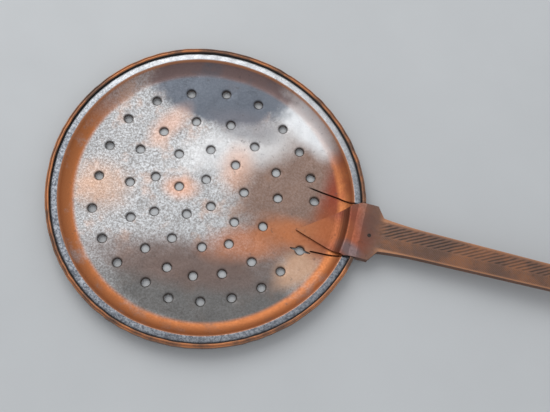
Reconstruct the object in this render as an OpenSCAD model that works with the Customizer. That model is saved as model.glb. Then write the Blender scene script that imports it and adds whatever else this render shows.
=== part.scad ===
// Skimmer with a shallow perforated bowl and a long forged handle.
// The level middle of the bowl rests on z = 0 and is centred on the origin. The handle
// runs along +X and ends in a hook that touches the same level. Sizes are in millimetres.

/* [Bowl] */
// Outside diameter of the bowl across its raised edge
rim_d = 180; // [160:1:210]
// How far the bowl is drawn out towards the handle
rim_draw = 2.2; // [0.4:0.1:5]
// Thickness of the copper sheet
sheet_t = 1.5; // [1.2:0.1:2]
// Radius of the level middle that the bowl rests on
rest_r = 30; // [20:1:42]
// Rise of the floor from the level middle to the foot of the wall
floor_rise = 2; // [1.6:0.1:4]
// Width of the wall, seen from above
wall_w = 8.5; // [7:0.5:11]
// Height of the wall
wall_h = 6; // [4:0.5:7]
// Width of the flat lip outside the wall
lip_w = 4.4; // [3:0.2:7]

/* [Raised edge] */
// Thickness of the hammered edge
edge_w = 2.6; // [2:0.1:4]
// Full height of the edge
edge_h = 5.6; // [5.2:0.1:7]
// Height of the edge's crest above the lip
edge_up = 1.8; // [1:0.1:2.4]
// Rounding of the edge's corners
edge_round = 0.8; // [0.3:0.1:0.9]

/* [Holes] */
// Diameter of the punched holes
hole_d = 4.8; // [3:0.1:6]
// Radius of the innermost ring of holes
inner_ring_r = 12; // [10:0.5:16]
// Distance from the outermost ring of holes to the foot of the wall
outer_ring_in = 11; // [6:0.5:16]

/* [Root joint] */
// Width across the shoulders of the handle's root
shoulder_w = 32.8; // [28:0.2:38]
// Length of the shoulders beyond the bowl's edge
shoulder_l = 7; // [5:0.5:12]
// Length of the slope between the shoulders and the neck
neck_l = 4.5; // [3:0.5:8]
// Thickness of the root
root_t = 5.5; // [5.2:0.1:7]
// Height of the root's top above the lip
root_up = 2.4; // [2:0.1:3]
// Thickness of the pointed tongue that lies on the bowl
tongue_t = 1.2; // [0.8:0.1:1.6]
// How far the tongue reaches in from the bowl's edge
tongue_l = 36; // [28:0.5:44]
// Width of the tongue at its base
tongue_w = 31; // [24:0.5:32]
// Distance of the tongue's base off the centre line
tongue_off = 1.3; // [0:0.1:2]
// Distance of the tongue's tip off the centre line
tongue_skew = 7; // [0:0.5:10]
// Thickness of the leaf under the bowl
under_leaf_t = 1.2; // [0.8:0.1:1.6]
// How far the leaf under the bowl reaches in from the edge
under_leaf_l = 14; // [10:0.5:15]
// Width of the leaf under the bowl at its inner end
under_leaf_w = 20; // [12:1:28]
// Width of the bowl's tab inside the cleft root
tab_w = 18; // [12:0.5:19]
// Length of the tab beyond the bowl's edge
tab_l = 9; // [7:0.5:10]
// Thickness of the brazing between the sheet and the handle
braze_t = 0.25; // [0.1:0.05:0.4]
// Width of the two slits beside the tongue
slit_w = 0.6; // [0.3:0.1:1]
// How far the slits reach in from the bowl's edge
slit_l = 38.5; // [30:0.5:44]
// Distance between the inner ends of the slits
slit_spread = 36.5; // [32:0.5:42]
// Clearance between the edge's cut ends and the shoulders
edge_gap = 0.2; // [0.1:0.05:0.5]

/* [Root pin] */
// Diameter of the pin through the root
pin_d = 2.2; // [1.6:0.1:3]
// Distance of the pin beyond the bowl's edge
pin_out = 5; // [4:0.5:6]
// Distance of the pin off the centre line
pin_off = 2; // [0:0.5:4]
// Clearance round the pin
pin_gap = 0.05; // [0.02:0.01:0.1]

/* [Handle] */
// Overall length of the skimmer, from the far side of the bowl to the hook
overall_l = 500; // [420:5:580]
// Width of the bar where it leaves the neck
bar_w = 17.4; // [14:0.2:20]
// Extra width of the neck over the bar
neck_flare = 2.8; // [1:0.2:5]
// Length over which the neck narrows to the bar
flare_l = 25; // [15:1:40]
// Width of the bar where the hook begins
bar_end_w = 9; // [6:0.2:12]

/* [Hook] */
// Inside radius of the hook
hook_r = 8; // [6:0.5:12]
// Thickness of the hook
hook_t = 4; // [3:0.1:5]
// How far round the hook bends
hook_bend = 210; // [190:5:240]

/* [Hidden] */
$fn = 48;
cut = 1; // overshoot of a cut past the face that it opens
lap = 0.1; // how far the larger of two joined bodies stands proud of the smaller
lap_turn = 3; // how far the hook starts inside the bar, in degrees

// Radii of the bowl, from the edge inwards
rim_r = rim_d/2;
edge_in_r = rim_r - edge_w;
lip_r = edge_in_r - lip_w;
floor_r = lip_r - wall_w;

// Heights of the bowl, from the rest upwards
lip_z = sheet_t + floor_rise + wall_h;
crest_z = lip_z + edge_up;
edge_low_z = crest_z - edge_h;

// The floor rises in one wide arc and the wall continues it in a tight one
dish_run = floor_r - rest_r;
dish_arc_r = (dish_run*dish_run + floor_rise*floor_rise)/(2*floor_rise);
dish_slope = 2*atan(floor_rise/dish_run);
wall_chord_slope = atan2(wall_h, wall_w);
wall_turn = 2*(wall_chord_slope - dish_slope);
wall_slope = dish_slope + wall_turn;
wall_arc_r = norm([wall_w, wall_h])/(2*sin(wall_turn/2));
wall_c = [floor_r, sheet_t + floor_rise] + wall_arc_r*[-sin(dish_slope), cos(dish_slope)];
dish_steps = 5;
wall_steps = 7;
corner_steps = 4;

// Rings of holes, punched by eye: the centre of each ring, and for each hole its angle in
// whole degrees and how far it strays from the ring. Centres and strays are in steps of a
// fifth of a hole's width.
stray = hole_d/5;
ring_centres = [[-5.5, -2], [-3, -2], [-1.5, -1.5], [-0.5, 0.5]];
ring_holes = [
    [[73, 0], [163, -1], [261, 0], [340, -1]],
    [[21, -3], [58, 0], [92, 1], [129, 0], [169, -1], [214, -2], [253, 0], [288, 1], [316, 4], [338, -4]],
    [[14, -2], [34, 0], [60, -2], [84, 2], [109, 1], [134, 0], [156, 0], [183, -4], [212, -4], [239, -2],
     [260, 0], [279, 1], [299, 1], [321, 2], [348, -7]],
    [[11, 1], [24, 0], [40, -1], [56, -1], [75, 2], [93, 1], [112, 0], [131, 1], [149, 1], [167, -1],
     [185, -2], [203, 1], [220, 0], [235, 0], [253, -2], [267, 1], [283, 0], [299, 0], [315, 1],
     [328, 0], [343, 1]]
];
outer_ring_r = floor_r - outer_ring_in;
ring_pitch = (outer_ring_r - inner_ring_r)/(len(ring_holes) - 1);

// Places along the handle
edge_x = rim_draw + rim_r;
base_x = rim_draw + lip_r;
cleft_x = edge_x + braze_t;
shoulder_x = edge_x + shoulder_l;
neck_x = shoulder_x + neck_l;
tab_x = edge_x + tab_l;
edge_cut_y = shoulder_w/2 + edge_gap;
edge_cut_x = rim_draw + sqrt(edge_in_r*edge_in_r - edge_cut_y*edge_cut_y) - lap;
pin_at = [edge_x + pin_out, -pin_off];

// Heights of the root
over_z = lip_z + braze_t;
under_z = lip_z - sheet_t - braze_t;
root_top = lip_z + root_up;
root_low = root_top - root_t;

// The bar rises so that the hook's lowest point is level with the rest
hook_out_r = hook_r + hook_t;
hook_x = overall_l - rim_r - hook_out_r;
hook_away = norm([hook_x - neck_x, hook_out_r - root_top]);
bar_drop = hook_out_r + lap;
bar_rise = atan2(hook_out_r - root_top, hook_x - neck_x) + asin(bar_drop/hook_away);
bar_l = sqrt(hook_away*hook_away - bar_drop*bar_drop);
bar_top = [neck_x, root_top] + bar_l*[cos(bar_rise), sin(bar_rise)];
bar_low = bar_top + (hook_t + 2*lap)*[sin(bar_rise), -cos(bar_rise)];
bar_run = bar_top.x - neck_x;
flare_steps = 5;

function arc(c, r, a0, a1, steps) =
    [for (i = [0:steps]) let (a = a0 + (a1 - a0)*i/steps) c + r*[cos(a), sin(a)]];
function reversed(points) = [for (i = [len(points) - 1:-1:0]) points[i]];

// The line of the bowl's inner surface, from the centre to a radius, moved off by a distance
function wall_top(off) = off >= 0 ? wall_slope : acos((wall_c.y - lip_z - off)/(wall_arc_r - off));
function floor_line(off) =
    [for (i = [0:dish_steps]) let (a = dish_slope*i/dish_steps)
        [rest_r, sheet_t + dish_arc_r] + (dish_arc_r - off)*[sin(a), -cos(a)]];
function wall_line(off) =
    [for (i = [1:wall_steps]) let (a = dish_slope + (wall_top(off) - dish_slope)*i/wall_steps)
        wall_c + (wall_arc_r - off)*[sin(a), -cos(a)]];
function ridge_line(off) =
    [for (i = [1:corner_steps]) let (a = wall_slope*(1 - i/corner_steps))
        if (off > 0) [lip_r, lip_z] + off*[-sin(a), cos(a)]];
function surface_line(off, reach) =
    concat([[0, sheet_t + off]], floor_line(off), wall_line(off), ridge_line(off), [[reach, lip_z + off]]);
function layer(low, high, reach) =
    concat(surface_line(high, reach), reversed(surface_line(low, reach)));

function edge_line() = concat(
    arc([edge_in_r + edge_round, crest_z - edge_round], edge_round, 180, 90, corner_steps),
    arc([rim_r - edge_round, crest_z - edge_round], edge_round, 90, 0, corner_steps),
    arc([rim_r - edge_round, edge_low_z + edge_round], edge_round, 0, -90, corner_steps),
    arc([edge_in_r + edge_round, edge_low_z + edge_round], edge_round, -90, -180, corner_steps));
bowl_section = concat(surface_line(0, edge_in_r), edge_line(), reversed(surface_line(-sheet_t, edge_in_r)));

// The half of a turned shape that faces the handle
module front_half(points) {
    translate([rim_draw, 0, 0]) rotate([0, 0, -90]) rotate_extrude(angle = 180, $fn = 120) polygon(points);
}

// A turned shape, drawn out towards the handle
module drawn_turning(points) {
    front_half(points);
    rotate([0, 0, 90]) rotate_extrude(angle = 180, $fn = 120) polygon(points);
    rotate([90, 0, 90]) linear_extrude(rim_draw) {
        polygon(points);
        mirror([1, 0]) polygon(points);
    }
}

module hole_pattern(height) {
    for (ring = [0:len(ring_holes) - 1])
        for (hole = ring_holes[ring]) {
            reach = inner_ring_r + ring*ring_pitch + hole[1]*stray;
            place = ring_centres[ring]*stray + reach*[cos(hole[0]), sin(hole[0])];
            translate([place.x, place.y, -cut]) cylinder(h = height, d = hole_d, $fn = 24);
        }
}

// A thin cut between two points of the plan
module slit(from, to) {
    run = to - from;
    translate([from.x, from.y, -cut]) rotate([0, 0, atan2(run.y, run.x)])
        translate([0, -slit_w/2, 0]) cube([norm(run), slit_w, crest_z + 2*cut]);
}

module flap_slits() {
    for (side = [1, -1]) {
        base = [base_x, side*tongue_w/2 - tongue_off];
        tip = [edge_x - slit_l, side*slit_spread/2];
        out = base + (base - tip)*(edge_x + cut - base_x)/(base_x - tip.x);
        slit(tip, out);
    }
}

// What is cut from the raised edge to seat the root, above and below the lip
module edge_cuts() {
    for (z = [[lip_z, crest_z + cut], [edge_low_z - cut, lip_z - sheet_t]])
        translate([edge_cut_x, -edge_cut_y, z[0]])
            cube([edge_x + cut - edge_cut_x, 2*edge_cut_y, z[1] - z[0]]);
}

module bowl_tab() {
    translate([edge_cut_x, -tab_w/2, lip_z - sheet_t]) cube([tab_x - edge_cut_x, tab_w, sheet_t]);
}

module pin_hole() {
    translate([pin_at.x, pin_at.y, root_low - cut]) cylinder(h = root_t + 2*cut, r = pin_d/2 + pin_gap);
}

module bowl() {
    color("#9c7c69") difference() {
        union() {
            difference() {
                drawn_turning(bowl_section);
                edge_cuts();
                hole_pattern(lip_z);
                flap_slits();
            }
            bowl_tab();
        }
        pin_hole();
    }
}

function flare(run) = run < flare_l ? neck_flare*pow(1 - run/flare_l, 2) : 0;
function half_width(run) = (bar_w + (bar_end_w - bar_w)*run/bar_run + flare(run))/2;
bar_side = concat(
    [for (run = concat([for (i = [0:flare_steps]) flare_l*i/flare_steps], [bar_run])) [neck_x + run, half_width(run)]],
    [[bar_low.x + cut, bar_end_w/2]]);
function mirrored(points) = reversed([for (p = points) [p.x, -p.y]]);

// Plan of the handle: the pointed tongue, the shoulders, the neck and the bar
handle_plan = concat(
    [
        [edge_x - tongue_l, -tongue_skew],
        [base_x, -tongue_w/2 - tongue_off],
        [base_x + lip_w/2, -shoulder_w/2],
        [shoulder_x, -shoulder_w/2]
    ],
    reversed(mirrored(bar_side)),
    reversed(bar_side),
    [
        [shoulder_x, shoulder_w/2],
        [base_x + lip_w, shoulder_w/2],
        [base_x, tongue_w/2 - tongue_off]
    ]
);
under_plan = [
    [edge_x - under_leaf_l, -under_leaf_w/2],
    [cleft_x + cut, -shoulder_w/2],
    [cleft_x + cut, shoulder_w/2],
    [edge_x - under_leaf_l, under_leaf_w/2]
];

module plan_prism(points) {
    translate([0, 0, -cut]) linear_extrude(bar_top.y + 2*cut) polygon(points);
}

// A prism across the handle, from points in the plane of x and z
module cross_prism(points, width) {
    translate([0, width/2, 0]) rotate([90, 0, 0]) linear_extrude(width) polygon(points);
}

module tongue() {
    intersection() {
        front_half(layer(braze_t, braze_t + tongue_t, cleft_x - rim_draw));
        plan_prism(handle_plan);
    }
}

module under_leaf() {
    intersection() {
        front_half(layer(-sheet_t - braze_t - under_leaf_t, -sheet_t - braze_t, cleft_x - rim_draw + cut));
        plan_prism(under_plan);
    }
}

module shoulders_and_bar() {
    profile = [
        [base_x, over_z],
        [cleft_x, over_z],
        [cleft_x, root_low],
        [neck_x, root_low],
        bar_low,
        bar_top,
        [neck_x, root_top],
        [edge_x, root_top],
        [base_x, over_z + tongue_t/2]
    ];
    intersection() {
        cross_prism(profile, shoulder_w + 2*cut);
        plan_prism(handle_plan);
    }
}

// The space in the cleft for the bowl's tab and the brazing over and under it
module cleft() {
    translate([cleft_x - cut, -tab_w/2 - braze_t, under_z])
        cube([tab_x + braze_t - cleft_x + cut, tab_w + 2*braze_t, over_z - under_z]);
}

module hook() {
    translate([hook_x, 0, hook_out_r]) rotate([90, 0, 0])
        rotate([0, 0, 90 + bar_rise - hook_bend]) rotate_extrude(angle = hook_bend + lap_turn, $fn = 64)
            translate([hook_r, lap - bar_end_w/2]) square([hook_t, bar_end_w - 2*lap]);
}

module handle() {
    color("#8a5f4a") difference() {
        union() {
            tongue();
            under_leaf();
            shoulders_and_bar();
            hook();
        }
        cleft();
        pin_hole();
    }
}

// A film of brazing between the sheet and a leaf, out to the end of the tab
module braze_film(low, high, plan) {
    difference() {
        union() {
            intersection() {
                front_half(layer(low, high, cleft_x - rim_draw));
                plan_prism(plan);
            }
            translate([base_x + cut, -tab_w/2, lip_z + low])
                cube([tab_x - base_x - cut, tab_w, high - low]);
        }
        pin_hole();
    }
}

module upper_braze() {
    color("#c09a55") braze_film(0, braze_t, handle_plan);
}

module lower_braze() {
    color("#c09a55") braze_film(-sheet_t - braze_t, -sheet_t, under_plan);
}

module root_pin() {
    color("#3b3430") translate([pin_at.x, pin_at.y, root_low]) cylinder(h = root_t, d = pin_d);
}

bowl();
handle();
upper_braze();
lower_braze();
root_pin();
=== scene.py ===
# The looks of the kitchen skimmer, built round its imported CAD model. Lengths are in metres.
import math

import bpy
import numpy as np
from bpy.props import FloatProperty, FloatVectorProperty, PointerProperty
from bpy.types import Operator, Panel, PropertyGroup
from mathutils import Matrix, Vector
from mathutils.geometry import delaunay_2d_cdt


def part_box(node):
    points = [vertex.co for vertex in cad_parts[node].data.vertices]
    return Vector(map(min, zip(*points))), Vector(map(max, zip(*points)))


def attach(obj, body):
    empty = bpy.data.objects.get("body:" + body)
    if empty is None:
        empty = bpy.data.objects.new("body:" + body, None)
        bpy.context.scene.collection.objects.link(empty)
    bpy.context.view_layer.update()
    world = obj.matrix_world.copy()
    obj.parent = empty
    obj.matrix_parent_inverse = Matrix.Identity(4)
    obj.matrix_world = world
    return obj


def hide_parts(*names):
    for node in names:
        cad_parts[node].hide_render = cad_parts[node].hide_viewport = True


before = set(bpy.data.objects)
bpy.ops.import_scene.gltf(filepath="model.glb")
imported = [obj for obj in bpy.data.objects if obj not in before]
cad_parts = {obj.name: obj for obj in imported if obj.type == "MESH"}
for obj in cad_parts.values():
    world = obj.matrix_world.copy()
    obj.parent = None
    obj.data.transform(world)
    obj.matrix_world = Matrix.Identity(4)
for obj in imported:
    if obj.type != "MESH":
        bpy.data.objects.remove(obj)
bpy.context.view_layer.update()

bl_info = {
    "name": "Kitchen Skimmer",
    "version": (1, 0, 0),
    "blender": (4, 5, 0),
    "location": "3D View > Sidebar > Skimmer",
    "description": "Dresses the CAD model of an old copper skimmer and sets its stage",
    "category": "Add Mesh",
}

MM = 0.001

# Rings of punched holes, as in the CAD model: the centre of each ring, and for each hole its
# angle in degrees and its stray from the ring, both in steps of a fifth of a hole's width
RING_CENTRES = [(-5.5, -2), (-3, -2), (-1.5, -1.5), (-0.5, 0.5)]
RING_HOLES = [
    [(73, 0), (163, -1), (261, 0), (340, -1)],
    [(21, -3), (58, 0), (92, 1), (129, 0), (169, -1), (214, -2), (253, 0), (288, 1), (316, 4), (338, -4)],
    [(14, -2), (34, 0), (60, -2), (84, 2), (109, 1), (134, 0), (156, 0), (183, -4), (212, -4), (239, -2),
     (260, 0), (279, 1), (299, 1), (321, 2), (348, -7)],
    [(11, 1), (24, 0), (40, -1), (56, -1), (75, 2), (93, 1), (112, 0), (131, 1), (149, 1), (167, -1),
     (185, -2), (203, 1), (220, 0), (235, 0), (253, -2), (267, 1), (283, 0), (299, 0), (315, 1),
     (328, 0), (343, 1)],
]

# Section of the hammered edge, from the lip over the crest and down to the sheet's underside:
# how far across its thickness and how far up its height
EDGE_SECTION = [
    (0.04, 0.75), (0.06, 0.84), (0.12, 0.93), (0.23, 0.985), (0.33, 1.0), (0.43, 0.982), (0.5, 0.95),
    (0.57, 0.972), (0.68, 0.995), (0.8, 0.975), (0.92, 0.92), (0.98, 0.83), (1.0, 0.66), (0.985, 0.45),
    (1.0, 0.24), (0.95, 0.11), (0.82, 0.03), (0.6, 0.0), (0.32, 0.01), (0.13, 0.06), (0.03, 0.16),
    (0.0, 0.29),
]

# How far the bowl is out of round: the number of lobes, the amount and the angle of a lobe
ROUNDNESS = [(2, 0.47 * MM, 1), (3, 0.89 * MM, 4), (4, 0.17 * MM, 1)]

# Steps round the bowl: a side of its front half, the handle's seat and the back half
FRONT_STEPS, SEAT_STEPS, BACK_STEPS = 90, 36, 210
SEAT_GAP = 0.2 * MM

# Rows of mesh points on the inside and the underside, in millimetres: radii of those on the wall and lip, and
# distances of those round each hole from its edge
TOP_ROWS = [70.7, 72, 73.2, 74.2, 75.1, 76, 76.9, 77.8, 78.7, 79.5, 80.3, 81, 81.6, 82.1, 82.5, 82.8, 83.1,
            83.5, 84.2, 85.1, 86, 86.7, 87.1]
LOW_ROWS = [70.7, 73, 75, 77, 79, 81, 82.6, 84, 85.6]
TOP_OFFSETS = [0, 0.08, 0.22, 0.45, 0.8, 1.3]
LOW_OFFSETS = [0, 0.25, 0.9]
SLIT_OFFSETS = [0.1, 0.28, 0.5, 0.9]
TOP_SPACING, LOW_SPACING = 1.3 * MM, 2.2 * MM
SLIT_SPACING = 0.6 * MM

# Heights and depths of the small marks on the bowl
LIP_RELIEF = 0.1 * MM
GROOVE_DEPTH = 0.35 * MM
SLIT_DEPTH = 0.9 * MM
SLIT_BURR = 0.08 * MM
HOLE_BURR = 0.25 * MM
EDGE_RELIEF = 0.1 * MM
EDGE_INSET = 0.12 * MM

# The one hole that is torn sideways: its place and how far it is torn
TORN_HOLE = (60.5 * MM, -18 * MM)
TEAR = 3.7 * MM

# Colours of the lesser finishes, as they look on screen. The bright tin, the pale tin and the lip's bright tone
# are painted reflections. The ridge copper and the worn edge are worn copper with a painted highlight. The
# outer brown and the side brown are painted shade
SHADES = {
    "tin_shadow": (150, 146, 144), "painted_bright_reflection": (222, 224, 226), "painted_pale_reflection": (212, 212, 212),
    "grey_tin": (108, 106, 112), "dull_tin": (92, 90, 88), "brown_tin": (118, 96, 88),
    "blush": (206, 168, 146), "middle_blush": (228, 172, 142), "left_blush": (216, 172, 142),
    "upper_blush": (226, 180, 156), "lower_blush": (218, 168, 140), "polished": (200, 160, 130),
    "root_orange": (150, 86, 56), "wall_copper": (188, 116, 70), "ridge_copper": (208, 142, 100),
    "lip_dark": (96, 100, 108), "lip_pale": (160, 164, 170), "lip_bright": (214, 216, 218),
    "crest_copper": (204, 136, 92), "outer_brown": (104, 72, 58), "underside_copper": (150, 104, 76),
    "bar_copper": (168, 116, 84), "bar_grey": (134, 112, 106), "root_grey": (112, 108, 112),
    "shoulder_brown": (98, 80, 74), "worn_edge": (206, 148, 110), "side_brown": (104, 66, 46),
    "braze_dark": (120, 88, 56), "braze_pale": (176, 134, 84), "iron": (70, 62, 58),
}

# Patches of finish, laid one over another, of which the bright, pale and dark tin are painted reflections:
# finish, centre, half length and half width (all in millimetres), turn in degrees, softness and amount
BOWL_PATCHES = [
    ("brown", 55, 15, 38, 48, 0, 0.35, 0.85), ("dull_tin", 15, -55, 60, 24, 5, 0.3, 0.9),
    ("brown_tin", 0, -42, 50, 13, 5, 0.5, 0.7), ("copper", 30, -22, 22, 9, 20, 0.6, 0.7),
    ("painted_bright_reflection", 42, 62, 30, 10, -36, 0.45, 0.95), ("painted_pale_reflection", 12, 34, 36, 14, 28, 0.5, 0.8),
    ("painted_dark_reflection", -8, 67, 43, 21, 3, 0.16, 0.95), ("grey_tin", 12, 48, 20, 9, 0, 0.5, 0.6),
    ("middle_blush", -15, 1, 9, 6, 10, 0.7, 0.7), ("left_blush", -60, -10, 14, 12, 0, 0.8, 0.6),
    ("upper_blush", -32, 37, 6, 13, -30, 0.7, 0.6), ("lower_blush", 14, 22, 8, 12, 0, 0.8, 0.6),
    ("copper", 60, -10, 22, 8, -8, 0.6, 0.75), ("red_copper", 80, 20, 13, 36, 0, 0.45, 0.95),
    ("polished", 63, -29, 9, 15, -38, 0.5, 0.75), ("root_orange", 76, -6, 14, 16, 0, 0.5, 0.8),
]
HANDLE_PATCHES = [
    ("red_copper", 82, -2, 16, 20, 0, 0.5, 0.8), ("copper", 72, -4, 16, 9, 0, 0.6, 0.55),
    ("root_grey", 88, -13, 7, 4, -30, 0.6, 0.7), ("shoulder_brown", 96, 6, 6, 10, 0, 0.7, 0.6),
]

# The oval of the painted dark reflection at the back of the bowl, where the tinning is smoother: centre, half
# length, half width, turn, softness and raggedness
SMOOTH_PATCH = (-8, 67, 43, 21, 2.86, 0.2, 0.4)

# Where one finish fades into the next, in millimetres along the bowl's section, which runs from the middle
# over the hammered edge and is negative on the underside: none of it at the first place, all at the second
FADES = {
    "wall": (73.5, 76.5), "ridge_in": (81.8, 82.6), "ridge_out": (83.6, 83), "lip": (82.9, 83.6),
    "groove": (86.2, 87.2), "crest": (88.3, 88.9), "crease_in": (90.1, 90.4), "crease_out": (90.9, 90.6),
    "outer_side": (91.8, 92.6), "underside": (0, -1),
}
BUMP_HEIGHT = 0.3 * MM
SCRATCH_STRETCH = (0.12, 1.6, 1.0)

# The engraved bar: its half width at the neck, how fast that narrows, and how the strokes lie
NECK_X = 104 * MM
NECK_HALF_WIDTH = 9.4 * MM
BAR_TAPER = 0.0152
SPINE_OFFSET = 0.7 * MM
STROKE_WOBBLE = 1.6 * MM

# The stage
TABLE_SIZE = 6
SKY_COLOUR = (0.93, 0.96, 1.0)
SKY_STRENGTH = 0.6
LAMP_PLACE = (-0.45, 0.55, 0.95)
LAMP_TARGET = (0.05, 0, 0)
LAMP_SIZE = 0.9
LAMP_POWER = 6.0
CAMERA_TARGET = (40.81 * MM, 3.29 * MM, 11.3 * MM)


def linear(colour):
    """Turns a colour of 0 to 255, as it looks on screen, into the linear values that shaders use."""
    return tuple(c / 255 / 12.92 if c <= 10.31 else ((c / 255 + 0.055) / 1.055) ** 2.4 for c in colour)


def length(name, text, default):
    return FloatProperty(name=name, description=text, default=default, precision=5,
                         subtype="DISTANCE", unit="LENGTH")


def colour(name, text, default):
    return FloatVectorProperty(name=name, description=text, default=linear(default), size=3, min=0, max=1,
                               subtype="COLOR")


def angle(name, text, default):
    return FloatProperty(name=name, description=text, default=math.radians(default),
                         subtype="ANGLE", unit="ROTATION")


class BowlSizes(PropertyGroup):
    """Sizes of the bowl"""

    rim_radius: length("Rim radius", "Outside radius of the bowl's raised edge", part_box("bowl")[1].y)
    drawn: length("Drawn out", "How far the bowl is drawn out towards the handle", 2.2 * MM)
    sheet: length("Sheet", "Thickness of the copper sheet", 1.5 * MM)
    rest_radius: length("Rest radius", "Radius of the level middle", 30 * MM)
    floor_rise: length("Floor rise", "Rise of the floor up to the foot of the wall", 2 * MM)
    wall_width: length("Wall width", "Width of the wall, seen from above", 8.5 * MM)
    wall_height: length("Wall height", "Height of the wall", 6 * MM)
    lip_width: length("Lip width", "Width of the flat lip outside the wall", 4.4 * MM)
    edge_thickness: length("Edge thickness", "Thickness of the hammered edge", 2.6 * MM)
    edge_height: length("Edge height", "Full height of the hammered edge", 5.6 * MM)
    edge_crest: length("Edge crest", "Height of the edge's crest above the lip", 1.8 * MM)
    hole_diameter: length("Hole diameter", "Diameter of the punched holes", 4.8 * MM)
    inner_ring: length("Inner ring", "Radius of the innermost ring of holes", 12 * MM)
    outer_ring_inset: length("Outer ring inset", "From the outermost ring to the foot of the wall", 11 * MM)
    hole_sink: length("Hole sink", "How far the punch drew the sheet down round a hole", 0.5 * MM)
    hammering: length("Hammering", "Height of the hammer's marks", 0.1 * MM)


class HandleSizes(PropertyGroup):
    """Sizes of the handle and of its engraving"""

    shoulder_width: length("Shoulder width", "Width across the shoulders of the root", 32.8 * MM)
    cut_pitch: length("Cut pitch", "Distance between the deeper strokes along the bar", 4 * MM)
    fine_pitch: length("Fine pitch", "Distance between the finer strokes along the bar", 1.5 * MM)


class Finishes(PropertyGroup):
    """Colours of the finishes"""

    tin: colour("Tin", "Worn bright tinning", (196, 198, 200))
    # A painted dark reflection on the tinning at the back of the bowl
    painted_dark_reflection: colour("Dark tin", "Smooth darkened tinning", (92, 98, 108))
    copper: colour("Copper", "Bare orange copper", (186, 112, 66))
    red_copper: colour("Red copper", "Dark red copper by the root", (140, 66, 46))
    brown: colour("Brown", "Brown patina", (128, 98, 82))
    # Real grime and dark specks, and also painted shade round the holes, along the slits and in the handle's
    # strokes; it darkens the edge's groove and crease too
    grime: colour("Grime", "Dirt in the corners", (52, 44, 40))


class StageSettings(PropertyGroup):
    """Camera and table"""

    azimuth: angle("Azimuth", "Turn of the camera round the skimmer", -3.12)
    elevation: angle("Elevation", "Height of the camera above the table", 72.06)
    roll: angle("Roll", "Roll of the camera", 17.5)
    distance: length("Distance", "From the camera to what it looks at", 0.4568)
    view_angle: angle("View angle", "Angle of view across the picture", 38)
    floor: colour("Floor", "Colour of the table", (204, 206, 207))


class BowlSection:
    """Heights of the bowl's surfaces over the plan"""

    def __init__(self, sizes):
        self.sizes = sizes
        self.edge_in_r = sizes.rim_radius - sizes.edge_thickness
        self.lip_r = self.edge_in_r - sizes.lip_width
        self.floor_r = self.lip_r - sizes.wall_width
        self.lip_z = sizes.sheet + sizes.floor_rise + sizes.wall_height
        self.edge_low_z = self.lip_z + sizes.edge_crest - sizes.edge_height
        run = self.floor_r - sizes.rest_radius
        self.dish_arc_r = (run ** 2 + sizes.floor_rise ** 2) / (2 * sizes.floor_rise)
        self.dish_slope = 2 * math.atan(sizes.floor_rise / run)
        half_turn = math.atan2(sizes.wall_height, sizes.wall_width) - self.dish_slope
        self.wall_arc_r = math.hypot(sizes.wall_width, sizes.wall_height) / (2 * math.sin(half_turn))
        self.wall_x = self.floor_r - self.wall_arc_r * math.sin(self.dish_slope)
        self.wall_z = sizes.sheet + sizes.floor_rise + self.wall_arc_r * math.cos(self.dish_slope)

    def reach(self, x, y):
        """Distance from the bowl's middle, which is drawn out towards the handle."""
        return np.hypot(x - np.clip(x, 0, self.sizes.drawn), y)

    def height(self, r, off=0.0):
        """Height of the inner surface, moved off along its normal."""
        s = self.sizes
        floor = s.sheet + self.dish_arc_r - np.sqrt((self.dish_arc_r - off) ** 2 - (r - s.rest_radius) ** 2)
        wall = self.wall_z - np.sqrt(np.maximum((self.wall_arc_r - off) ** 2 - (r - self.wall_x) ** 2, 0))
        z = np.where(r > s.rest_radius, floor, s.sheet + off)
        z = np.where(r > self.floor_r - off * math.sin(self.dish_slope), wall, z)
        return soft_min(z, self.lip_z + off, 0.5 * MM)



def soft_min(a, b, width):
    """The lesser of two heights, with the corner between them rounded."""
    h = np.clip(0.5 + 0.5 * (b - a) / width, 0, 1)
    return b * (1 - h) + a * h - width * h * (1 - h)


def smooth_step(x, low, high):
    t = np.clip((x - low) / (high - low), 0, 1)
    return t * t * (3 - 2 * t)


def waves(x, y, size, seed, count=40):
    """A smooth random relief of about -1 to 1, whose bumps are about the given size."""
    rng = np.random.default_rng(seed)
    total = np.zeros(np.shape(x))
    for heading, scale, phase in rng.random((count, 3)):
        k = 2 * math.pi / (size * (0.7 + 0.9 * scale))
        total += np.cos(k * (x * math.cos(heading * 2 * math.pi) + y * math.sin(heading * 2 * math.pi))
                        + phase * 2 * math.pi)
    return total * math.sqrt(2 / count) * 0.6


def hole_centres(sizes, section):
    """Centres of the punched holes, as in the CAD model."""
    stray = sizes.hole_diameter / 5
    pitch = (section.floor_r - sizes.outer_ring_inset - sizes.inner_ring) / (len(RING_HOLES) - 1)
    centres = []
    for ring, holes in enumerate(RING_HOLES):
        for turn, off in holes:
            r = sizes.inner_ring + ring * pitch + off * stray
            centres.append((RING_CENTRES[ring][0] * stray + r * math.cos(math.radians(turn)),
                            RING_CENTRES[ring][1] * stray + r * math.sin(math.radians(turn))))
    return np.array(centres)


def distance_to_holes(points, centres, sizes):
    """Distance of each plan point from the nearest hole's edge."""
    nearest = np.min([np.hypot(*(points - c).T) for c in centres], axis=0)
    return np.maximum(nearest - sizes.hole_diameter / 2, 0)


def triangulate(points, loops):
    """Joins plan points into triangles that keep the loops' edges. Gives the points, the triangles and the
    new number of each given point."""
    edges = [(a, b) for loop in loops for a, b in zip(loop, loop[1:] + loop[:1])]
    found = delaunay_2d_cdt([Vector((x / MM, y / MM)) for x, y in points], edges, [], 0, 1e-4)
    plan = np.array([(v.x * MM, v.y * MM) for v in found[0]])
    number = {}
    for new, olds in enumerate(found[3]):
        for old in olds:
            number[old] = new
    return plan, np.array(found[2]), number


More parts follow.
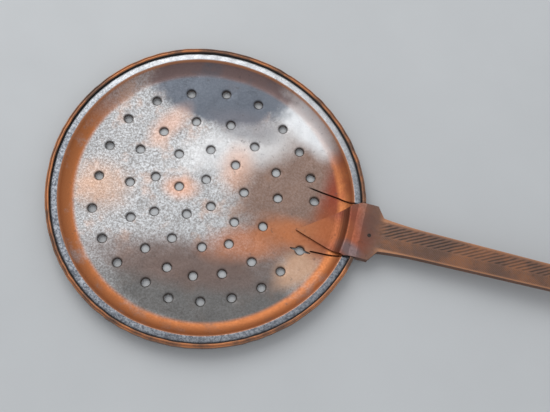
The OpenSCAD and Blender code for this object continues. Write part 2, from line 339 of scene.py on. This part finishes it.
def inside_polygon(points, polygon):
    """Which of the plan points lie inside a polygon."""
    x, y = points[:, 0], points[:, 1]
    inside = np.zeros(len(points), bool)
    for (xa, ya), (xb, yb) in zip(polygon, np.roll(polygon, -1, axis=0)):
        crosses = (ya > y) != (yb > y)
        with np.errstate(divide="ignore", invalid="ignore"):
            inside ^= crosses & (x < (xb - xa) * (y - ya) / (yb - ya) + xa)
    return inside


def distance_to_line(points, line):
    """Distance of each plan point from a line of straight runs."""
    best = np.full(len(points), 1e9)
    for a, b in zip(line[:-1], line[1:]):
        run = b - a
        t = np.clip(((points - a) @ run) / max(run @ run, 1e-18), 0, 1)
        best = np.minimum(best, np.hypot(*(points - a - t[:, None] * run).T))
    return best


def hexagon_grid(low, high, spacing):
    """Plan points in staggered rows over a box."""
    rows = np.arange(low[1], high[1], spacing * 0.866)
    return np.array([(x + (i % 2) * spacing / 2, y) for i, y in enumerate(rows)
                     for x in np.arange(low[0], high[0], spacing)])


def resampled(line, spacing):
    """Points at an even spacing along a line of straight runs, with its corners kept."""
    out = []
    for a, b in zip(line[:-1], line[1:]):
        steps = max(1, round(math.dist(a, b) / spacing))
        out += [a + (b - a) * i / steps for i in range(steps)]
    return np.array(out + [line[-1]])


def rows_beside(line, offsets):
    """Rows of points at several distances to both sides of a line."""
    run = np.gradient(line, axis=0)
    normal = np.stack([-run[:, 1], run[:, 0]], 1) / np.hypot(*run.T)[:, None]
    sides = [0.0] + [side * off for off in offsets for side in (1, -1)]
    return np.concatenate([line + normal * off for off in sides])


class MeshParts:
    """Collects points, faces and per-point values, and makes one mesh piece of them"""

    def __init__(self, *value_names):
        self.points, self.faces = [], []
        self.values = {name: [] for name in value_names}

    def add(self, points, **values):
        first = len(self.points)
        self.points += [tuple(p) for p in points]
        for name, held in self.values.items():
            given = values.get(name, 0.0)
            held += list(np.broadcast_to(given, len(points)))
        return np.arange(first, first + len(points))

    def strip(self, lower, upper, leave_out=()):
        """Quads between two closed rows of equal length, but for the ones to leave out."""
        for i in range(len(lower)):
            if i not in leave_out:
                j = (i + 1) % len(lower)
                self.faces.append((lower[i], lower[j], upper[j], upper[i]))

    def drop_loose(self):
        """Leaves out the points that no face uses."""
        used = np.zeros(len(self.points), bool)
        for face in self.faces:
            used[list(face)] = True
        new = np.cumsum(used) - 1
        self.points = [p for p, keep in zip(self.points, used) if keep]
        self.faces = [tuple(new[i] for i in face) for face in self.faces]
        for name, held in self.values.items():
            self.values[name] = [v for v, keep in zip(held, used) if keep]

    def piece(self, name, material, slot):
        mesh = bpy.data.meshes.new(name)
        mesh.from_pydata(self.points, [], [tuple(int(i) for i in f) for f in self.faces])
        for value, held in self.values.items():
            mesh.attributes.new(value, "FLOAT", "POINT").data.foreach_set("value", np.array(held, np.float32))
        mesh.validate()
        mesh.materials.append(material)
        piece = bpy.data.objects.new(name, mesh)
        bpy.context.scene.collection.objects.link(piece)
        bpy.context.view_layer.objects.active = piece
        bpy.ops.object.select_all(action="DESELECT")
        piece.select_set(True)
        bpy.ops.object.mode_set(mode="EDIT")
        bpy.ops.mesh.select_all(action="SELECT")
        bpy.ops.mesh.normals_make_consistent(inside=False)
        bpy.ops.object.mode_set(mode="OBJECT")
        mesh.set_sharp_from_angle(angle=math.radians(50))
        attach(piece, "root")
        return piece


def out_of_round(turn):
    """How far the bowl stands out or in at an angle round it."""
    return sum(amount * np.cos(lobes * (turn - math.radians(lobe))) for lobes, amount, lobe in ROUNDNESS)


def root_slits():
    """Centre lines of the two slits beside the tongue."""
    upper = np.array([(57.5, 20.4), (66, 18.9), (75, 17.6), (82, 15.6), (86.6, 14.6)]) * MM
    lower = np.array([(67, -17.4), (74, -17.1), (80, -17.0), (86.6, -16.9)]) * MM
    return [upper, lower]


def plan_of_bowl(section, centres, offsets, spacing, wall_rows, turns, front):
    """Triangles of the bowl's plan, with rings of points round each hole. Gives the plan, the triangles, the
    number of each hole's edge points and of the outer points."""
    sizes = section.sizes
    points, hole_loops = [], []
    hole_r = sizes.hole_diameter / 2
    rng = np.random.default_rng(11)
    for n, centre in enumerate(centres):
        torn = math.dist(centre, TORN_HOLE) < hole_r
        count = 64 if torn else 28
        around = np.linspace(0, 2 * math.pi, count, endpoint=False)
        oval = 0.04 * np.cos(2 * around + rng.random() * 6)
        edge = hole_r * (1 + oval + 0.02 * np.cos(3 * around + rng.random() * 6))
        if torn:
            edge = edge + TEAR * np.abs(np.cos(around + 0.05)) ** 60
        for off in offsets:
            ring = np.stack([np.cos(around), np.sin(around)], 1) * (edge + off)[:, None] + centre
            if off == offsets[0]:
                hole_loops.append(list(range(len(points), len(points) + count)))
            points += list(ring)
    slit_offsets = [off * MM for off in SLIT_OFFSETS]
    slit_points = np.concatenate([rows_beside(resampled(line, SLIT_SPACING), slit_offsets)
                                  for line in root_slits()])
    far = distance_to_holes(slit_points, centres, sizes) > offsets[-1] + 0.3 * MM
    points += list(slit_points[far & (section.reach(*slit_points.T) < section.edge_in_r - 0.4 * MM)])
    taken = np.array(points)
    grid = hexagon_grid((-sizes.rim_radius,) * 2, (sizes.rim_radius,) * 2, spacing)
    grid = grid[section.reach(*grid.T) < wall_rows[0] - spacing * 0.7]
    rows = np.concatenate([ring_points(section, r, turns, front) for r in wall_rows[:-1]])
    fill = np.concatenate([grid, rows])
    fill = fill[distance_to_holes(fill, centres, sizes) > offsets[-1] + spacing * 0.5]
    fill = fill[np.min([distance_to_line(fill, line) for line in root_slits()], axis=0) > 1.3 * MM]
    outer = ring_points(section, wall_rows[-1], turns, front)
    points = np.concatenate([taken, fill, outer])
    loop = list(range(len(points) - len(outer), len(points)))
    plan, faces, number = triangulate(points, hole_loops + [loop])
    middles = plan[faces].mean(axis=1)
    keep = np.ones(len(faces), bool)
    for hole, centre in zip(hole_loops, centres):
        near = np.hypot(*(middles - centre).T) < 8 * MM
        keep[near] &= ~inside_polygon(middles[near], points[hole])
    return plan, faces[keep], [[number[i] for i in hole] for hole in hole_loops], [number[i] for i in loop]


def ring_points(section, r, turns, front):
    return np.stack([r * np.cos(turns) + np.where(front, section.sizes.drawn, 0), r * np.sin(turns)], 1)


def settled(section, plan):
    """Plan points moved outwards or inwards by how far the bowl is out of round."""
    x, y = plan.T
    turn = np.arctan2(y, x - np.clip(x, 0, section.sizes.drawn))
    far = out_of_round(turn) * smooth_step(section.reach(x, y), 58 * MM, 84 * MM)
    return np.stack([x + far * np.cos(turn), y + far * np.sin(turn)], 1)


def turns_round(sizes):
    """Angles of the points round the bowl, which are on its front half, and which lie at the handle."""
    handle = bpy.context.scene.skimmer_handle
    seat = math.asin((handle.shoulder_width / 2 + SEAT_GAP) / (sizes.rim_radius - sizes.edge_thickness / 2))
    quarter = math.pi / 2
    turns = np.concatenate([np.linspace(-quarter, -seat, FRONT_STEPS),
                            np.linspace(-seat, seat, SEAT_STEPS)[1:],
                            np.linspace(seat, quarter, FRONT_STEPS)[1:],
                            np.linspace(quarter, 3 * quarter, BACK_STEPS)])
    front = np.arange(len(turns)) < len(turns) - BACK_STEPS
    at_handle = front & (np.abs(turns) < seat + 1e-6)
    seated = [i for i in range(len(turns) - 1) if at_handle[i] and at_handle[i + 1]]
    return turns, front, seated


def add_inside(parts, section, centres, turns, front):
    """The inside of the bowl, with its hammering, sunk holes and slits."""
    sizes = section.sizes
    rows = [r * MM for r in TOP_ROWS] + [section.edge_in_r]
    offsets = [off * MM for off in TOP_OFFSETS]
    plan, faces, holes, outer = plan_of_bowl(section, centres, offsets, TOP_SPACING, rows, turns, front)
    x, y = plan.T
    r = section.reach(x, y)
    relief = waves(x, y, 26 * MM, 1) + 0.35 * waves(x, y, 8 * MM, 2)
    z = section.height(r) + sizes.hammering * relief * smooth_step(section.edge_in_r - r, 0, 6 * MM)
    z = z + LIP_RELIEF * waves(x, y, 10 * MM, 3) * smooth_step(r, 80 * MM, 84 * MM)
    z = z - GROOVE_DEPTH * smooth_step(r, 86.2 * MM, section.edge_in_r)
    from_hole = distance_to_holes(plan, centres, sizes)
    z = z - sizes.hole_sink * np.exp(-from_hole / (0.32 * MM))
    from_slit = np.min([distance_to_line(plan, line) for line in root_slits()], axis=0)
    slit_end = smooth_step(x, 56.5 * MM, 62 * MM)
    slit = np.clip(1 - from_slit / (0.45 * MM), 0, 1) * slit_end
    burr = np.exp(-((from_slit - 0.6 * MM) / (0.25 * MM)) ** 2) * slit_end
    z = z - SLIT_DEPTH * slit + SLIT_BURR * burr
    # The hole and cut values mark the painted shade round the holes and along the slits; round the holes it is
    # partly grime
    top = parts.add(np.column_stack([settled(section, plan), z]), section=r,
                    hole=np.exp(-(from_hole / (0.62 * MM)) ** 2),
                    cut=np.exp(-(from_slit / (0.42 * MM)) ** 2) * slit_end)
    parts.faces += [tuple(top[f]) for f in faces]
    return [list(top[hole]) for hole in holes], list(top[outer])


def add_underside(parts, section, centres, turns, front):
    """The underside of the bowl, with the burrs that the punch left."""
    sizes = section.sizes
    rows = [r * MM for r in LOW_ROWS] + [section.edge_in_r]
    offsets = [off * MM for off in LOW_OFFSETS]
    plan, faces, holes, outer = plan_of_bowl(section, centres, offsets, LOW_SPACING, rows, turns, front)
    x, y = plan.T
    r = section.reach(x, y)
    z = section.height(r, -sizes.sheet)
    burr = np.minimum(HOLE_BURR, 0.5 * np.maximum(z, 0))
    burr = burr * np.exp(-distance_to_holes(plan, centres, sizes) / (0.3 * MM))
    z = np.maximum(z - burr + 0.1 * MM * waves(x, y, 14 * MM, 5) * smooth_step(z, 0, 0.6 * MM), 0)
    low = parts.add(np.column_stack([settled(section, plan), z]), section=-r)
    parts.faces += [tuple(low[f])[::-1] for f in faces]
    return [list(low[hole]) for hole in holes], list(low[outer])


def join_holes(parts, holes, low_holes):
    """The walls of the punched holes."""
    for upper, lower in zip(holes, low_holes):
        middle = (np.array([parts.points[i] for i in upper]) + np.array([parts.points[i] for i in lower])) / 2
        # The walls of the holes get a hole value that darkens them with painted shade
        middle = list(parts.add(middle, section=0, hole=0.6))
        parts.strip(upper, middle)
        parts.strip(middle, lower)


def add_edge(parts, section, turns, front, seated, outer, low_outer):
    """The hammered edge, which stops at both sides of the handle's seat."""
    sizes = section.sizes
    rows = [outer]
    run = section.edge_in_r
    last = (section.edge_in_r, section.lip_z)
    for across, up in EDGE_SECTION:
        r = section.edge_in_r + across * sizes.edge_thickness
        h = section.edge_low_z + up * sizes.edge_height
        run += math.dist(last, (r, h))
        last = (r, h)
        plan = ring_points(section, r, turns, front)
        far = out_of_round(turns) + EDGE_RELIEF * waves(*plan.T, 9 * MM, 8) * (across > 0.1) - EDGE_INSET
        lift = 0.09 * MM * waves(*plan.T, 7 * MM, 9) - 0.1 * MM
        plan = plan + np.stack([np.cos(turns), np.sin(turns)], 1) * far[:, None]
        rows.append(list(parts.add(np.column_stack([plan, h + lift * (up > 0.5)]), section=run)))
    rows.append(low_outer)
    for lower, upper in zip(rows, rows[1:]):
        parts.strip(lower, upper, leave_out=seated)
    for i in seated:
        parts.faces.append((rows[0][i], rows[0][i + 1], rows[-1][i + 1], rows[-1][i]))
    for end in (seated[0], seated[-1] + 1):
        parts.faces.append(tuple(row[end] for row in rows))


def make_bowl(material):
    """The bowl as one closed mesh: inside, underside, punched holes and hammered edge."""
    sizes = bpy.context.scene.skimmer_bowl
    section = BowlSection(sizes)
    centres = hole_centres(sizes, section)
    turns, front, seated = turns_round(sizes)
    parts = MeshParts("section", "hole", "cut")
    holes, outer = add_inside(parts, section, centres, turns, front)
    low_holes, low_outer = add_underside(parts, section, centres, turns, front)
    join_holes(parts, holes, low_holes)
    add_edge(parts, section, turns, front, seated, outer, low_outer)
    parts.drop_loose()
    piece = parts.piece("hammered_bowl", material, "tinned_copper")
    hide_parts("bowl")


class Nodes:
    """Adds nodes to a tree: an input is given as a value or as the socket that feeds it"""

    def __init__(self, tree):
        self.tree = tree

    def feed(self, socket, value):
        if isinstance(value, bpy.types.NodeSocket):
            self.tree.links.new(value, socket)
        elif socket.type == "RGBA":
            socket.default_value = (*value, 1)
        else:
            socket.default_value = value

    def add(self, kind, inputs=None, **settings):
        node = self.tree.nodes.new(kind)
        for name, value in settings.items():
            setattr(node, name, value)
        for name, value in (inputs or {}).items():
            self.feed(node.inputs[name], value)
        return node

    def noise(self, vector, scale, detail=4.0, rough=0.6):
        inputs = {"Vector": vector, "Scale": scale, "Detail": detail, "Roughness": rough}
        return self.add("ShaderNodeTexNoise", inputs).outputs["Fac"]

    def ramp(self, value, low, high, to_low=0.0, to_high=1.0):
        inputs = {"Value": value, "From Min": low, "From Max": high, "To Min": to_low, "To Max": to_high}
        return self.add("ShaderNodeMapRange", inputs, interpolation_type="SMOOTHSTEP").outputs[0]

    def math(self, operation, a, b=0.0):
        return self.add("ShaderNodeMath", {0: a, 1: b}, operation=operation).outputs[0]

    def times(self, first, *others):
        for other in others:
            first = self.math("MULTIPLY", first, other)
        return first

    def less(self, a, b):
        return self.math("SUBTRACT", a, b)

    def split(self, vector):
        return self.add("ShaderNodeSeparateXYZ", {0: vector}).outputs

    def value(self, name):
        """A value that the mesh holds for each point."""
        return self.add("ShaderNodeAttribute", attribute_name=name).outputs["Fac"]

    def mix(self, mask, a, b):
        return self.add("ShaderNodeMix", {0: mask, 6: a, 7: b}, data_type="RGBA").outputs[2]

    def group(self, tree, **inputs):
        return self.add("ShaderNodeGroup", {name.capitalize(): value for name, value in inputs.items()},
                        node_tree=tree).outputs


def new_group(name, inputs, outputs):
    """An empty shader node group: its tree, its nodes and its given inputs."""
    group = bpy.data.node_groups.new(name, "ShaderNodeTree")
    for socket, kind in inputs.items():
        group.interface.new_socket(socket, in_out="INPUT", socket_type="NodeSocket" + kind)
    for socket in outputs:
        group.interface.new_socket(socket, in_out="OUTPUT", socket_type="NodeSocketFloat")
    n = Nodes(group)
    return group, n, n.add("NodeGroupInput").outputs


def patch_group():
    """A soft ragged oval of finish, placed over the part."""
    group, n, given = new_group("Finish Patch", {
        "Vector": "Vector", "Centre": "Vector", "Length": "Float", "Width": "Float", "Turn": "Float",
        "Softness": "Float", "Ragged": "Float"}, ["Mask"])
    away = n.add("ShaderNodeVectorMath", {0: given["Vector"], 1: given["Centre"]}, operation="SUBTRACT")
    back = n.times(given["Turn"], -1.0)
    turned = n.add("ShaderNodeVectorRotate", {"Vector": away.outputs[0], "Angle": back}, rotation_type="Z_AXIS")
    across = n.split(turned.outputs[0])
    x = n.math("DIVIDE", across[0], given["Length"])
    y = n.math("DIVIDE", across[1], given["Width"])
    far = n.math("SQRT", n.math("ADD", n.times(x, x), n.times(y, y)))
    stray = n.times(n.less(n.noise(given["Vector"], 90.0), 0.5), given["Ragged"])
    low = n.less(1.0, given["Softness"])
    high = n.math("ADD", 1.0, given["Softness"])
    n.add("NodeGroupOutput", {"Mask": n.ramp(n.math("ADD", far, stray), low, high, 1.0, 0.0)})
    return group


def grain_group():
    """Fine grain of worn metal: a mask of pale grains, a mask of dark specks and a height with scratches."""
    group, n, given = new_group("Worn Grain", {"Vector": "Vector", "Scale": "Float"},
                                ["Grain", "Specks", "Height"])
    fine = n.noise(given["Vector"], given["Scale"], 6.0, 0.75)
    wide = n.noise(given["Vector"], n.times(given["Scale"], 0.45), 3.0)
    stretched = n.add("ShaderNodeVectorMath", {0: given["Vector"], 1: SCRATCH_STRETCH}, operation="MULTIPLY")
    scratch = n.ramp(n.noise(stretched.outputs[0], n.times(given["Scale"], 1.4), 2.0), 0.62, 0.7)
    n.add("NodeGroupOutput", {"Grain": n.ramp(fine, 0.38, 0.62), "Specks": n.ramp(wide, 0.62, 0.72),
                              "Height": n.less(fine, n.times(scratch, 0.3))})
    return group


def shared_groups():
    """The two effects that the materials share, built once."""
    groups = bpy.data.node_groups
    return groups.get("Finish Patch") or patch_group(), groups.get("Worn Grain") or grain_group()


def shade(name):
    """A finish's colour, from the panel's colours or from the lesser ones."""
    if name in SHADES:
        return linear(SHADES[name])
    return tuple(getattr(bpy.context.scene.skimmer_finishes, name))


def new_material(name):
    material = bpy.data.materials.new(name)
    material.use_nodes = True
    n = Nodes(material.node_tree)
    return material, n, n.add("ShaderNodeTexCoord").outputs["Object"]


def finish(material, n, tone, rough, metal, height, strength):
    """Feeds the shader's sockets and gives the material."""
    bump = n.add("ShaderNodeBump", {"Strength": strength, "Distance": BUMP_HEIGHT, "Height": height})
    sockets = material.node_tree.nodes["Principled BSDF"].inputs
    n.feed(sockets["Base Color"], tone)
    n.feed(sockets["Roughness"], rough)
    n.feed(sockets["Metallic"], metal)
    n.feed(sockets["Normal"], bump.outputs[0])
    return material


def patch_mask(n, place, patches, x, y, half_length, half_width, turn, softness, ragged=0.5):
    return n.group(patches, vector=place, centre=(x * MM, y * MM, 0), length=half_length * MM,
                   width=half_width * MM, turn=math.radians(turn), softness=softness, ragged=ragged)[0]


def lay_patches(n, tone, place, patches, rows):
    for name, *oval, amount in rows:
        tone = n.mix(n.times(patch_mask(n, place, patches, *oval), amount), tone, shade(name))
    return tone


def lay_bands(n, tone, place, grain):
    """Bands of finish along the bowl's section, some of them painted highlight, reflection and shade, and the
    darkening in its holes and slits: painted shade, with some grime round the holes.
    """
    section = n.value("section")

    def fade(name, most=1.0):
        return n.ramp(section, FADES[name][0] * MM, FADES[name][1] * MM, 0.0, most)

    y = n.split(place)[1]
    cloud = n.noise(place, 60.0)
    wall = n.times(fade("wall"), n.ramp(y, 55 * MM, 20 * MM, 0.25, 1.0), n.ramp(cloud, 0.3, 0.5, 0.5, 1.0))
    lip = n.mix(grain["Grain"], shade("lip_dark"), shade("lip_pale"))
    # The lip grows paler towards the back of the bowl: a painted reflection
    lip = n.mix(n.ramp(y, 0.0, 75 * MM, 0.0, 0.7), lip, shade("lip_bright"))
    bands = [
        (wall, shade("wall_copper")),
        # Worn copper on the ridge, with a painted highlight
        (n.times(fade("ridge_in"), fade("ridge_out"), 0.8), shade("ridge_copper")),
        (fade("lip"), lip),
        (fade("groove", 0.9), shade("grime")),
        (fade("crest"), n.mix(n.ramp(cloud, 0.35, 0.6), shade("brown"), shade("crest_copper"))),
        (n.times(fade("crease_in"), fade("crease_out"), 0.8), shade("grime")),
        # Painted shade on the outer side of the hammered edge
        (fade("outer_side", 0.85), shade("outer_brown")),
        (fade("underside"), n.mix(grain["Grain"], shade("brown"), shade("underside_copper"))),
        # Painted shade and dark reflection round the holes and on their walls, with some grime, and painted
        # shade along the slits
        (n.times(n.value("hole"), 0.85), shade("grime")),
        (n.times(n.value("cut"), 0.85), shade("grime")),
    ]
    for mask, band in bands:
        tone = n.mix(mask, tone, band)
    return tone


def bowl_material(patches, grains):
    """Worn tinning over copper with patches of painted reflection, and bands of finish, painted highlight and
    painted shade on the wall, lip and edge.
    """
    material, n, place = new_material("tinned_copper_worn")
    grain = n.group(grains, vector=place, scale=900.0)
    tone = n.mix(grain["Grain"], shade("tin_shadow"), shade("tin"))
    tone = n.mix(n.ramp(n.noise(place, 70.0, 3.0), 0.5, 0.7, 0.0, 0.45), tone, shade("blush"))
    tone = lay_patches(n, tone, place, patches, BOWL_PATCHES)
    tone = lay_bands(n, tone, place, grain)
    tone = n.mix(n.times(grain["Specks"], 0.35), tone, shade("grime"))
    smooth = patch_mask(n, place, patches, *SMOOTH_PATCH)
    rough = n.less(n.ramp(grain["Grain"], 0.0, 1.0, 0.52, 0.38), n.times(smooth, 0.08))
    metal = n.ramp(grain["Specks"], 0.0, 1.0, 0.8, 0.4)
    return finish(material, n, tone, rough, metal, grain["Height"], 0.35)


def engraved_strokes(n, place, half_width, up):
    """A mask of the strokes that run from the spine of the bar to both its edges."""
    sizes = bpy.context.scene.skimmer_handle
    x, y = n.split(place)[:2]
    wobble = n.times(n.less(n.noise(place, 160.0, 2.0), 0.5), STROKE_WOBBLE)
    strokes = 0.0
    for side, pitch, lean, depth in ((1.0, sizes.cut_pitch, 27, 1.0), (-1.0, sizes.fine_pitch, 37, 0.5)):
        across = n.times(n.math("ADD", y, SPINE_OFFSET), side)
        along = n.less(x, n.math("DIVIDE", across, math.tan(math.radians(lean))))
        along = n.math("ADD", along, n.times(wobble, pitch / (4 * MM)))
        wave = n.math("ABSOLUTE", n.less(n.math("FRACT", n.math("DIVIDE", along, pitch)), 0.5))
        cut = n.times(n.ramp(wave, 0.3, 0.08), depth, n.ramp(across, 0.1 * MM, 0.6 * MM))
        cut = n.times(cut, n.ramp(n.less(half_width, across), 1.0 * MM, 2.4 * MM))
        strokes = n.math("MAXIMUM", strokes, cut)
    return n.times(strokes, up, n.ramp(x, 101 * MM, 108 * MM), n.ramp(x, 360 * MM, 340 * MM))


def handle_material(patches, grains):
    """Brown copper with herringbone strokes cut along the bar, painted shade in the strokes and on the bar's
    sides, and worn bright edges with a painted highlight.
    """
    material, n, place = new_material("engraved_copper")
    grain = n.group(grains, vector=place, scale=700.0)
    cloud = n.noise(place, 55.0)
    tone = n.mix(n.ramp(cloud, 0.35, 0.65), shade("brown"), shade("bar_copper"))
    tone = n.mix(n.times(grain["Grain"], 0.35), tone, shade("bar_grey"))
    tone = lay_patches(n, tone, place, patches, HANDLE_PATCHES)
    x, y = n.split(place)[:2]
    up = n.ramp(n.split(n.add("ShaderNodeNewGeometry").outputs["Normal"])[2], 0.7, 0.9)
    half_width = n.less(NECK_HALF_WIDTH, n.times(n.less(x, NECK_X), BAR_TAPER))
    strokes = engraved_strokes(n, place, half_width, up)
    # Painted shade in the engraved strokes
    tone = n.mix(n.times(strokes, n.ramp(cloud, 0.3, 0.7, 0.9, 0.5)), tone, shade("grime"))
    # Worn copper along the edges of the bar's top face, with a painted highlight
    from_edge = n.less(half_width, n.math("ABSOLUTE", y))
    margin = n.times(n.ramp(from_edge, 2.0 * MM, 0.6 * MM), up, n.ramp(x, 100 * MM, 106 * MM))
    tone = n.mix(n.times(margin, 0.65), tone, shade("worn_edge"))
    # Painted shade on the bar's sides, the faces that do not face up
    tone = n.mix(n.less(0.55, n.times(up, 0.55)), tone, shade("side_brown"))
    tone = n.mix(n.times(grain["Specks"], 0.3), tone, shade("grime"))
    height = n.less(n.times(grain["Height"], 0.3), n.times(strokes, 1.2))
    rough = n.ramp(grain["Grain"], 0.0, 1.0, 0.55, 0.42)
    return finish(material, n, tone, rough, n.ramp(strokes, 0.0, 1.0, 0.75, 0.3), height, 0.8)


def plain_metal(name, low, high, grains):
    """Grainy metal between two colours."""
    material, n, place = new_material(name)
    grain = n.group(grains, vector=place, scale=1100.0)
    tone = n.mix(grain["Grain"], shade(low), shade(high))
    rough = n.ramp(grain["Grain"], 0.0, 1.0, 0.6, 0.45)
    return finish(material, n, tone, rough, n.ramp(grain["Specks"], 0.0, 1.0, 0.8, 0.5), grain["Height"], 0.4)


def add_table(floor_colour):
    bpy.ops.mesh.primitive_plane_add(size=TABLE_SIZE, location=(0.1, 0, 0))
    table = bpy.context.active_object
    table.name = "table"
    material, n, place = new_material("pale_table")
    darker = tuple(c * 0.94 for c in floor_colour)
    tone = n.mix(n.ramp(n.noise(place, 6.0), 0.3, 0.7), darker, tuple(floor_colour))
    rough = n.ramp(n.noise(place, 40.0), 0.0, 1.0, 0.6, 0.8)
    table.data.materials.append(finish(material, n, tone, rough, 0.0, n.noise(place, 500.0), 0.1))


def add_light(scene):
    """A pale world and one large soft lamp."""
    scene.world = bpy.data.worlds.new("soft_studio")
    scene.world.use_nodes = True
    sky = scene.world.node_tree.nodes["Background"].inputs
    sky["Color"].default_value = (*SKY_COLOUR, 1)
    sky["Strength"].default_value = SKY_STRENGTH
    light = bpy.data.lights.new("soft_box", "AREA")
    light.size, light.energy = LAMP_SIZE, LAMP_POWER
    lamp = bpy.data.objects.new("soft_box", light)
    scene.collection.objects.link(lamp)
    lamp.location = Vector(LAMP_PLACE)
    lamp.rotation_euler = (Vector(LAMP_TARGET) - lamp.location).to_track_quat("-Z", "Y").to_euler()


def add_camera(scene, settings):
    """The camera, turned round the skimmer, raised over the table and rolled."""
    back = Vector((0, -math.cos(settings.elevation), math.sin(settings.elevation)))
    side = Vector((1, 0, 0))
    above = back.cross(side)
    turn = Matrix.Rotation(settings.azimuth, 3, "Z")
    right = turn @ (side * math.cos(settings.roll) + above * math.sin(settings.roll))
    up = turn @ (above * math.cos(settings.roll) - side * math.sin(settings.roll))
    back = turn @ back
    camera = bpy.data.objects.new("camera", bpy.data.cameras.new("camera"))
    camera.data.angle = settings.view_angle
    place = turn @ Vector(CAMERA_TARGET) + back * settings.distance
    camera.matrix_world = Matrix.Translation(place) @ Matrix((right, up, back)).transposed().to_4x4()
    scene.collection.objects.link(camera)
    scene.camera = camera


class SKIMMER_OT_bowl(Operator):
    """Makes the hammered bowl with its punched holes"""

    bl_idname = "skimmer.bowl"
    bl_label = "Hammered Bowl"

    def execute(self, context):
        make_bowl(bowl_material(*shared_groups()))
        return {"FINISHED"}


class SKIMMER_OT_handle(Operator):
    """Finishes the handle, its brazing and its pin, whose solids stay as they are"""

    bl_idname = "skimmer.handle"
    bl_label = "Engraved Handle"

    def execute(self, context):
        patches, grains = shared_groups()
        braze = plain_metal("dull_brazing", "braze_dark", "braze_pale", grains)
        finishes = {"handle": handle_material(patches, grains), "upper_braze": braze, "lower_braze": braze,
                    "root_pin": plain_metal("dark_iron", "grime", "iron", grains)}
        for node, material in finishes.items():
            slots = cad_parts[node].data.materials
            slots.clear()
            slots.append(material)
        return {"FINISHED"}


class SKIMMER_OT_stage(Operator):
    """Sets up the table, the light and the camera"""

    bl_idname = "skimmer.stage"
    bl_label = "Stage"

    def execute(self, context):
        settings = context.scene.skimmer_stage
        context.scene.view_settings.view_transform = "Standard"
        add_table(settings.floor)
        add_light(context.scene)
        add_camera(context.scene, settings)
        return {"FINISHED"}


class SKIMMER_PT_panel(Panel):
    """Lists the skimmer's sizes, colours and steps"""

    bl_label = "Skimmer"
    bl_idname = "SKIMMER_PT_panel"
    bl_space_type = "VIEW_3D"
    bl_region_type = "UI"
    bl_category = "Skimmer"

    def draw(self, context):
        for group in GROUPS:
            settings = getattr(context.scene, group)
            box = self.layout.box()
            for name in settings.__annotations__:
                box.prop(settings, name)
        for operator in (SKIMMER_OT_bowl, SKIMMER_OT_handle, SKIMMER_OT_stage):
            self.layout.operator(operator.bl_idname)


GROUPS = {"skimmer_bowl": BowlSizes, "skimmer_handle": HandleSizes, "skimmer_finishes": Finishes,
          "skimmer_stage": StageSettings}
CLASSES = (*GROUPS.values(), SKIMMER_OT_bowl, SKIMMER_OT_handle, SKIMMER_OT_stage, SKIMMER_PT_panel)


def register():
    for cls in CLASSES:
        bpy.utils.register_class(cls)
    for name, group in GROUPS.items():
        setattr(bpy.types.Scene, name, PointerProperty(type=group))


def unregister():
    for name in GROUPS:
        delattr(bpy.types.Scene, name)
    for cls in reversed(CLASSES):
        bpy.utils.unregister_class(cls)


def main():
    register()
    bpy.ops.skimmer.stage()
    bpy.ops.skimmer.bowl()
    bpy.ops.skimmer.handle()


if __name__ == "__main__":
    main()
